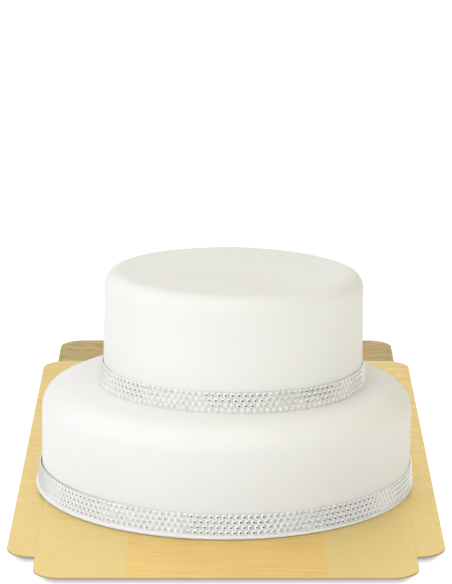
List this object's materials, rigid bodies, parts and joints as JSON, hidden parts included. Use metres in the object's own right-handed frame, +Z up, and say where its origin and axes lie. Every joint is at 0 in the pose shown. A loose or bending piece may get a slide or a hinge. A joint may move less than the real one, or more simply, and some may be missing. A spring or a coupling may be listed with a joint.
{
  "type": "tiered wedding cake",
  "caption": "Round tiered wedding cake in smooth white rolled icing, with a silver studded ribbon at the foot of each tier, standing on three crossed gold cake cards.",
  "frame": {"origin": "centre of the overall box at the underside of the bottom card", "axes": "+Z up; the front faces -Y; +X is to the right seen from the front"},
  "size_m": [0.336, 0.688, 0.1845],
  "materials": {
    "white_icing": "smooth white rolled icing with a soft satin sheen and a faint hand-smoothed waviness",
    "gold_card": "thin card covered in satin gold foil with a fine wavy grain",
    "mirror_studs": "silver film ribbon pressed into staggered rows of small mirror-bright domed studs"
  },
  "bodies": {
    "root": {"card_bottom": "gold_card", "card_middle": "gold_card", "card_top": "gold_card", "lower_tier": "white_icing", "upper_tier": "white_icing", "lower_ribbon": "mirror_studs", "upper_ribbon": "mirror_studs"}
  },
  "joints": []
}
